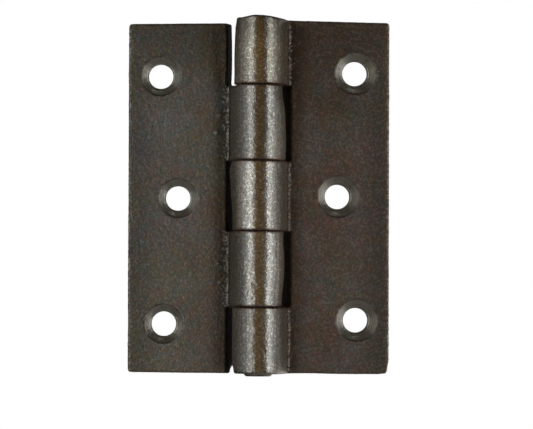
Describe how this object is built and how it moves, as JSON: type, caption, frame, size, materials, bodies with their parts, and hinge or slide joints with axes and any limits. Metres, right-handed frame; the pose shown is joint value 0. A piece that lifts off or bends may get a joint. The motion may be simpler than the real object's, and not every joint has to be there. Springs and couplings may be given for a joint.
{
  "type": "butt hinge",
  "caption": "Cast-iron butt hinge in raw grey-brown iron: flat leaves with staggered countersunk screw holes, interleaved round knuckles and a fixed steel pin.",
  "frame": {"origin": "on the pin's axis, at the middle of the pin's length", "axes": "+Z along the pin, the end of the barrel that the picture shows at the top; +X towards the outer edge of the three-knuckle leaf; +Y towards the backs of the leaves, so the countersunk faces look towards -Y"},
  "size_m": [0.0564, 0.0113, 0.0774],
  "materials": {
    "leaf_iron": "raw casting, dark grey-brown, rubbed bright on the barrel",
    "pin_steel": "dull rod with darkened ends"
  },
  "bodies": {
    "fixed_side": {"fixed_leaf": "leaf_iron", "pin": "pin_steel"},
    "swing_side": {"swing_leaf": "leaf_iron"}
  },
  "joints": [
    {"name": "leaf_swing", "type": "hinge", "parent": "fixed_side", "child": "swing_side", "pos_m": [0, 0, 0], "axis": [0, 0, 1], "range_deg": [-75, 180]}
  ]
}
